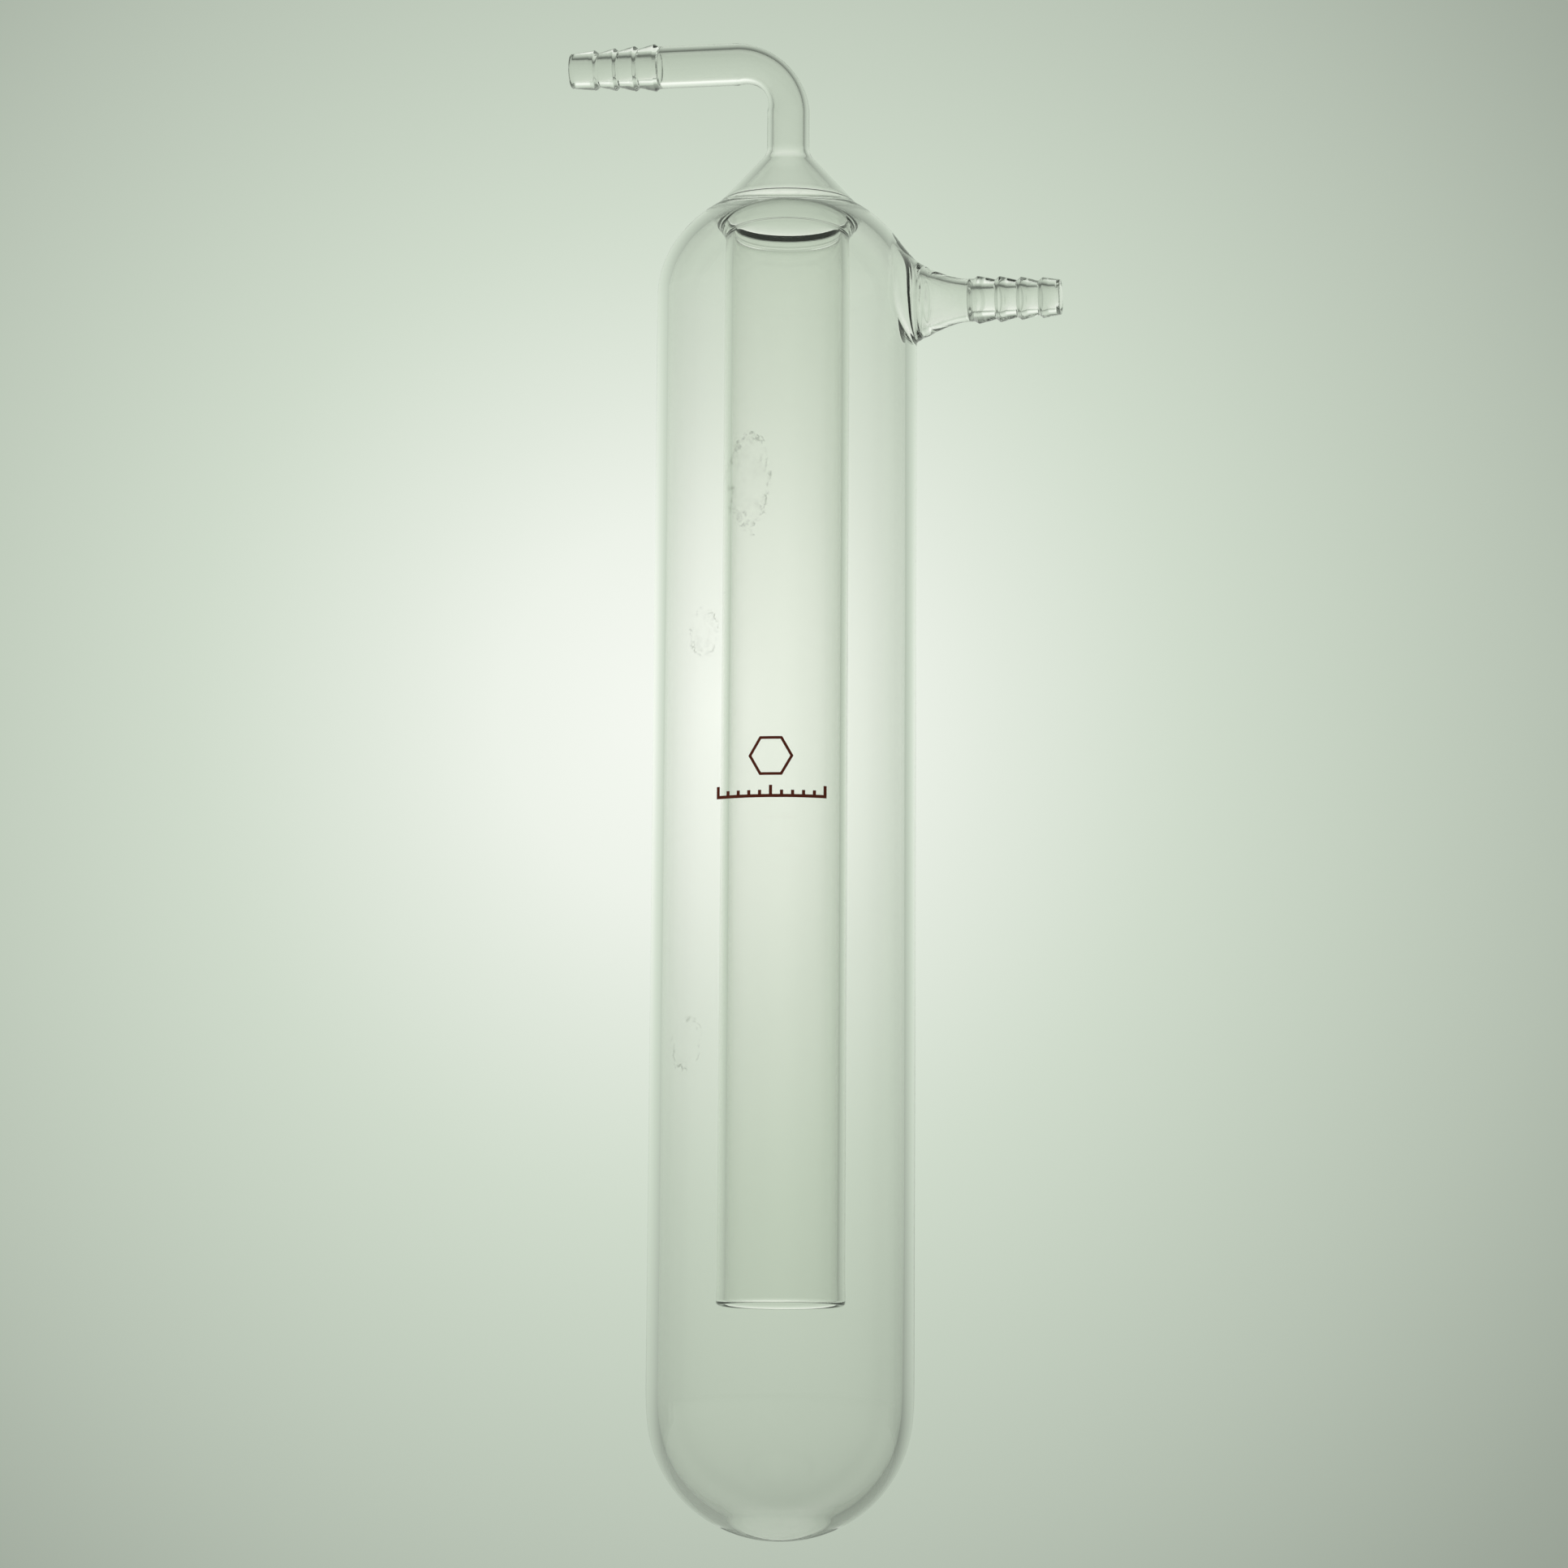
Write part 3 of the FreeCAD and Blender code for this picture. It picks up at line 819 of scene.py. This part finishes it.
def barb_outside(land_ends):
    """Outline from the tip over the crests to the root."""
    corners, radii = [(BARB_TIP_BORE + BARB_CHAMFER, 0.0), (BARB_TIP_R, 0.0)], [TIP_ROUND]
    for crest, land_end in zip(BARB_CRESTS, land_ends):
        foot = STEM_R if land_end == land_ends[-1] else crest - BARB_STEP
        corners += [(crest, land_end - CREST_LEAD), (foot, land_end + BARB_STEP_LENGTH)]
        radii += CREST_ROUNDS
    corners.append((STEM_R, BARB_LENGTH))
    return finer(rounded(corners, radii))


def barb_inside(land_ends):
    """Outline from the root back through the bore to the tip."""
    socket_end = BARB_LENGTH - BARB_SOCKET
    corners = [(STEM_BORE, BARB_LENGTH), (STEM_BORE, socket_end), (BARB_BORE, socket_end - BARB_FUNNEL)]
    radii = [*SOCKET_ROUNDS]
    for land_end in land_ends[-2::-1]:
        corners += [(BARB_BORE, land_end + SWELL_AFTER), (BARB_BORE + BARB_SWELL, land_end),
                    (BARB_BORE, land_end - SWELL_BEFORE)]
        radii += SWELL_ROUNDS
    corners += [(BARB_BORE, TIP_NARROWING), (BARB_TIP_BORE, BARB_CHAMFER),
                (BARB_TIP_BORE + BARB_CHAMFER, 0.0)]
    radii += TIP_BORE_ROUNDS
    return finer(rounded(corners, radii))


def hose_barb(name, tip_x, height, way, first_crest, pitch):
    """Moulded barb drawn up Z from its tip, then laid level with its tip at tip_x."""
    land_ends = [first_crest + number * pitch for number in range(len(BARB_CRESTS))]
    outline = [
        (barb_outside(land_ends), GLASS),
        (straight((STEM_R, BARB_LENGTH), (STEM_BORE, BARB_LENGTH)), SEAM),
        (barb_inside(land_ends), GLASS),
    ]
    turn = Matrix.Rotation(math.pi / 2 * way, 4, "Y")
    place = Matrix.Translation(Vector((tip_x, 0, height))) @ turn
    return turned(name, outline, AROUND_SMALL, place)


# --- printed mark ---------------------------------------------------------------------------

MARK_TURN = math.radians(3.8)
MARK_STROKE = 0.6
MARK_THICKNESS = 0.05
HEXAGON_R = 4.2
RULE_WIDTH, TICKS, TICK, LONG_TICK = 21.0, 11, 1.1, 2.0
LONG_EVERY = 5                # every fifth tick is a long one
MARK_CLEARANCE = 0.002        # keeps the print's underside just off the glass
STROKE_STEP = 0.25


def printed_mark():
    """Plain hexagon over a short ruled line, printed on the front of the body as raised enamel."""
    low, high = box_mm("printed_mark")
    rule_z = low[2] + MARK_STROKE / 2
    hexagon_z = high[2] - HEXAGON_R * math.sin(math.pi / 3)
    bm = bmesh.new()

    def on_wall(across, height, lift):
        angle = across / BODY_R + MARK_TURN
        radius = BODY_R + lift
        return bm.verts.new((radius * math.sin(angle) * MM, -radius * math.cos(angle) * MM, height * MM))

    def stroke(start_side, end_side):
        """Raised strip between two edges, each a pair of (across, height) points."""
        span = max(math.dist(*side) for side in (start_side, end_side))
        count = max(2, math.ceil(span / STROKE_STEP))
        levels = []
        for lift in (MARK_CLEARANCE, MARK_THICKNESS):
            rows = []
            for a, b in (start_side, end_side):
                rows.append([on_wall(a[0] + (b[0] - a[0]) * n / count, a[1] + (b[1] - a[1]) * n / count,
                                     lift) for n in range(count + 1)])
            levels.append(rows)
        (low_a, low_b), (top_a, top_b) = levels
        for n in range(count):
            bm.faces.new((top_a[n], top_a[n + 1], top_b[n + 1], top_b[n]))
            bm.faces.new((low_b[n], low_b[n + 1], low_a[n + 1], low_a[n]))
            bm.faces.new((low_a[n], low_a[n + 1], top_a[n + 1], top_a[n]))
            bm.faces.new((top_b[n], top_b[n + 1], low_b[n + 1], low_b[n]))
        for n in (0, count):
            bm.faces.new((low_a[n], top_a[n], top_b[n], low_b[n]))

    def corner(radius, k):
        return (radius * math.cos(math.pi / 3 * k), hexagon_z + radius * math.sin(math.pi / 3 * k))

    for k in range(6):
        stroke((corner(HEXAGON_R, k), corner(HEXAGON_R, k + 1)),
               (corner(HEXAGON_R - MARK_STROKE, k), corner(HEXAGON_R - MARK_STROKE, k + 1)))
    half = MARK_STROKE / 2
    stroke(((-RULE_WIDTH / 2, rule_z - half), (RULE_WIDTH / 2, rule_z - half)),
           ((-RULE_WIDTH / 2, rule_z + half), (RULE_WIDTH / 2, rule_z + half)))
    for k in range(TICKS):
        across = (k / (TICKS - 1) - 0.5) * (RULE_WIDTH - MARK_STROKE)
        top = rule_z + (TICK if k % LONG_EVERY else LONG_TICK)
        stroke(((across - half, rule_z + half), (across - half, top)),
               ((across + half, rule_z + half), (across + half, top)))
    bmesh.ops.recalc_face_normals(bm, faces=bm.faces)
    mesh = bpy.data.meshes.new("printed_mark_enamel")
    bm.to_mesh(mesh)
    bm.free()
    piece = bpy.data.objects.new("printed_mark_enamel", mesh)
    bpy.context.scene.collection.objects.link(piece)
    return piece


# --- assembly -------------------------------------------------------------------------------

# Where a barb's tip is, which way it points, and its first crest and their pitch.
INLET_BARB = (-INLET_ROOT - BARB_LENGTH, INLET_Z, 1, 5.1, 3.95)
OUTLET_BARB = (OUTLET_ROOT + BARB_LENGTH, OUTLET_Z, -1, 3.7, 4.13)
glass_pieces = {
    "body_tube": body_tube(),
    "round_bottom": round_bottom(),
    "shoulder": shoulder(),
    "side_arm_neck": side_arm_neck(),
    "ring_seal": ring_seal(),
    "dip_tube": dip_tube(),
    "inlet_cone": inlet_cone(),
    "inlet_stem": inlet_stem(),
    "inlet_hose_barb": hose_barb("inlet_hose_barb_glass", *INLET_BARB),
    "outlet_hose_barb": hose_barb("outlet_hose_barb_glass", *OUTLET_BARB),
}
for replaced, piece in glass_pieces.items():
    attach(piece, "root")
    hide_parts(replaced)

mark = printed_mark()
mark.data.materials.append(enamel)
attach(mark, "root")
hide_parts("printed_mark")


# --- floor, light and camera ----------------------------------------------------------------

# Lengths from here on are in metres.
CAMERA_TURN = math.radians(9.5)
CAMERA_TILT = math.radians(9.2)
CAMERA_ROLL = math.radians(0.376)
CAMERA_DISTANCE = 0.961
CAMERA_BELOW = 0.0135         # camera's depth below the vessel's lowest point
CAMERA_LENS, SENSOR_WIDTH = 117.9, 36.0      # millimetres
CLIP = (0.01, 50.0)
GLASS_BOUNCES, GLOSSY_BOUNCES = 40, 12       # enough for light to pass every wall of glass
FLOOR_Z = -0.06               # well below the vessel, out of the picture
GLOW_TURN, GLOW_TILT = CAMERA_TURN + math.radians(1.05), math.radians(10.0)
GLOW_WAY = Vector((-math.sin(GLOW_TURN) * math.cos(GLOW_TILT), math.cos(GLOW_TURN) * math.cos(GLOW_TILT),
                   math.sin(GLOW_TILT)))
GLOW_REACH = 0.974            # from the camera to the object, along the glow
PANEL_BEHIND, PANEL_HALF = 0.15, 0.45
FLOOR_HALF, FLOOR_COLOUR, FLOOR_ROUGHNESS = 6.0, (0.74, 0.79, 0.72, 1), 0.7
# Stops of (degrees from the glow's centre, brightness, strength of the green tint).
GLOW = ((0, 0.95, 0.0), (2, 0.90, 0.2), (3.5, 0.815, 0.5), (5.4, 0.72, 0.9), (7.5, 0.63, 1.0),
        (9.6, 0.54, 1.0), (13.2, 0.37, 1.0), (20, 0.30, 1.0), (35, 0.22, 1.0), (60, 0.16, 1.0),
        (90, 0.20, 1.0), (180, 0.28, 1.0))
PANEL_GLOW = ((0, 1.09, 0.0), (2, 0.97, 0.2), (3.5, 0.838, 0.5), (5.4, 0.717, 0.9), (7.5, 0.61, 1.0),
              (9.6, 0.505, 1.0), (13.2, 0.31, 1.0), (17, 0.17, 1.0), (22, 0.11, 1.0))
# Red and blue as shares of green, and how much of each the full tint takes away.
GLOW_RED, RED_LOSS = 0.97, 0.09
GLOW_BLUE, BLUE_LOSS = 0.935, 0.095


def sheet(name, half, segments):
    """Flat square mesh object facing up Z."""
    bm = bmesh.new()
    bmesh.ops.create_grid(bm, x_segments=segments, y_segments=segments, size=half)
    mesh = bpy.data.meshes.new(name)
    bm.to_mesh(mesh)
    bm.free()
    made = bpy.data.objects.new(name, mesh)
    bpy.context.scene.collection.objects.link(made)
    return made


def pale_floor():
    floor = sheet("floor", FLOOR_HALF, 8)
    floor.location.z = FLOOR_Z
    material, _, _, shader = new_material("pale_floor")
    shader.inputs["Base Color"].default_value = FLOOR_COLOUR
    shader.inputs["Roughness"].default_value = FLOOR_ROUGHNESS
    floor.data.materials.append(material)


def glow(nodes, links, angle, levels=GLOW):
    """Colour of the glow at an angle from its centre."""
    share = calc(nodes, links, "DIVIDE", angle, math.pi)
    stops = []
    for degrees, level, tint in levels:
        colour = (level * (GLOW_RED - RED_LOSS * tint), level, level * (GLOW_BLUE - BLUE_LOSS * tint))
        stops.append((degrees / 180, colour))
    return ramp(nodes, links, share, stops)


def studio_world():
    """Pale surround with a soft glow behind the object and dimmer light all round."""
    world = bpy.data.worlds.new("studio")
    bpy.context.scene.world = world
    world.use_nodes = True
    nodes, links = world.node_tree.nodes, world.node_tree.links
    facing = nodes.new("ShaderNodeVectorMath")
    facing.operation = "DOT_PRODUCT"
    facing.inputs[1].default_value = GLOW_WAY
    links.new(nodes.new("ShaderNodeTexCoord").outputs["Generated"], facing.inputs[0])
    angle = calc(nodes, links, "ARCCOSINE", facing.outputs["Value"])
    links.new(glow(nodes, links, angle), nodes["Background"].inputs["Color"])
    nodes["Background"].inputs["Strength"].default_value = 1.0


def eye_place():
    lowest = bottom_low[2] * MM
    return Vector((CAMERA_DISTANCE * math.sin(CAMERA_TURN), -CAMERA_DISTANCE * math.cos(CAMERA_TURN),
                   lowest - CAMERA_BELOW))


def light_panel():
    """Lit panel close behind the object, seen only through and on the glass."""
    distance = GLOW_REACH + PANEL_BEHIND
    panel = sheet("light_panel", PANEL_HALF, 2)
    panel.location = eye_place() + GLOW_WAY * distance
    panel.rotation_euler = (-GLOW_WAY).to_track_quat("Z", "Y").to_euler()
    panel.visible_camera = panel.visible_diffuse = panel.visible_shadow = False
    material, nodes, links, surface = bare_material("lit_panel")
    reach = length(nodes, links, nodes.new("ShaderNodeTexCoord").outputs["Object"])
    slope = calc(nodes, links, "DIVIDE", reach, distance)
    angle = calc(nodes, links, "ARCTANGENT", slope)
    lamp = nodes.new("ShaderNodeEmission")
    links.new(glow(nodes, links, angle, PANEL_GLOW), lamp.inputs["Color"])
    links.new(lamp.outputs["Emission"], surface)
    panel.data.materials.append(material)


def soft_light(name, size, power, place, aim):
    light = bpy.data.lights.new(name, "AREA")
    light.size = size
    light.energy = power
    lamp = bpy.data.objects.new(name, light)
    lamp.location = place
    lamp.rotation_euler = (Vector(aim) - Vector(place)).to_track_quat("-Z", "Y").to_euler()
    lamp.visible_glossy = lamp.visible_transmission = False
    bpy.context.scene.collection.objects.link(lamp)


def camera():
    data = bpy.data.cameras.new("camera")
    data.lens, data.sensor_width = CAMERA_LENS, SENSOR_WIDTH
    data.clip_start, data.clip_end = CLIP
    eye = bpy.data.objects.new("camera", data)
    eye.location = eye_place()
    level = Matrix.Rotation(CAMERA_TURN, 4, "Z") @ Matrix.Rotation(math.pi / 2 + CAMERA_TILT, 4, "X")
    eye.rotation_euler = (level @ Matrix.Rotation(CAMERA_ROLL, 4, "Z")).to_euler()
    bpy.context.scene.collection.objects.link(eye)
    bpy.context.scene.camera = eye


pale_floor()
studio_world()
light_panel()
soft_light("overhead_softbox", size=1.6, power=14.0, place=(-0.9, -0.4, 1.9), aim=(0, 0, 0.1))
camera()
scene = bpy.context.scene
scene.view_settings.view_transform = "Standard"
scene.cycles.max_bounces = GLASS_BOUNCES
scene.cycles.transmission_bounces = GLASS_BOUNCES
scene.cycles.transparent_max_bounces = GLASS_BOUNCES
scene.cycles.glossy_bounces = GLOSSY_BOUNCES
